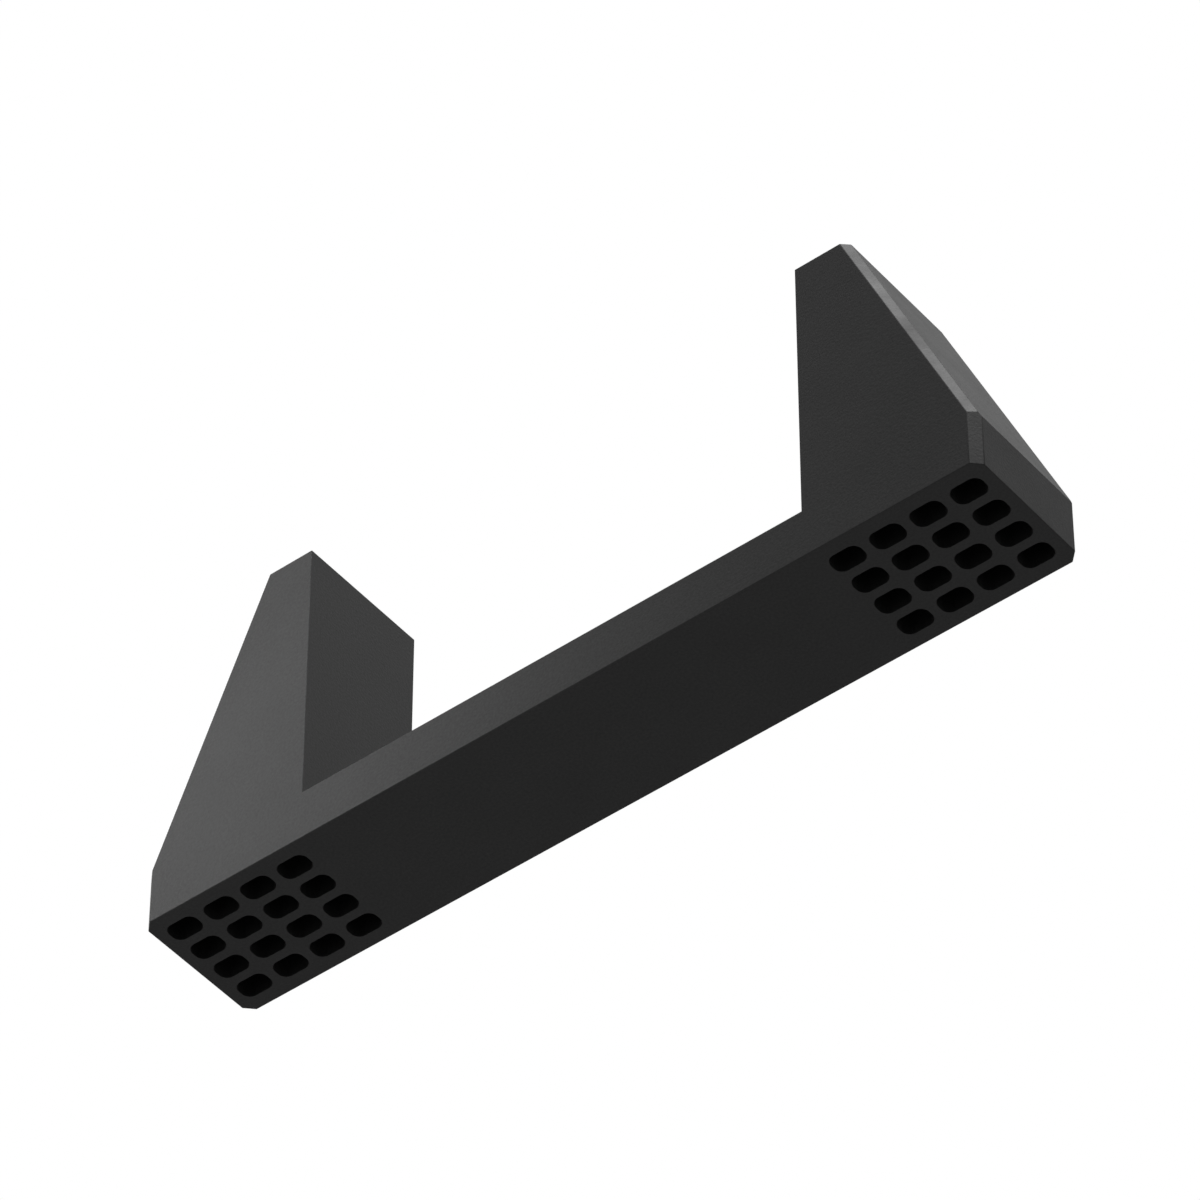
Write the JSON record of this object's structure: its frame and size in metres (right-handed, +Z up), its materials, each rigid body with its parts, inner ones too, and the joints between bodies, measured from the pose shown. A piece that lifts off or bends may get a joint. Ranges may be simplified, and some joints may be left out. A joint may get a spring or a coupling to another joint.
{
  "type": "console vertical stand",
  "caption": "U-shaped moulded bracket that holds a game console upright on its edge: a flat bar with a tapered arm at each end and a grid of small blind pockets under each foot.",
  "frame": {"origin": "on the floor, at the centre of the base under the middle of the bar", "axes": "+X along the bar from one arm to the other, +Y across the bar, +Z up"},
  "size_m": [0.1, 0.016, 0.0392],
  "materials": {
    "black_plastic": "satin black moulded plastic with a fine even grain"
  },
  "bodies": {
    "root": {"stand_bracket": "black_plastic"}
  },
  "joints": []
}
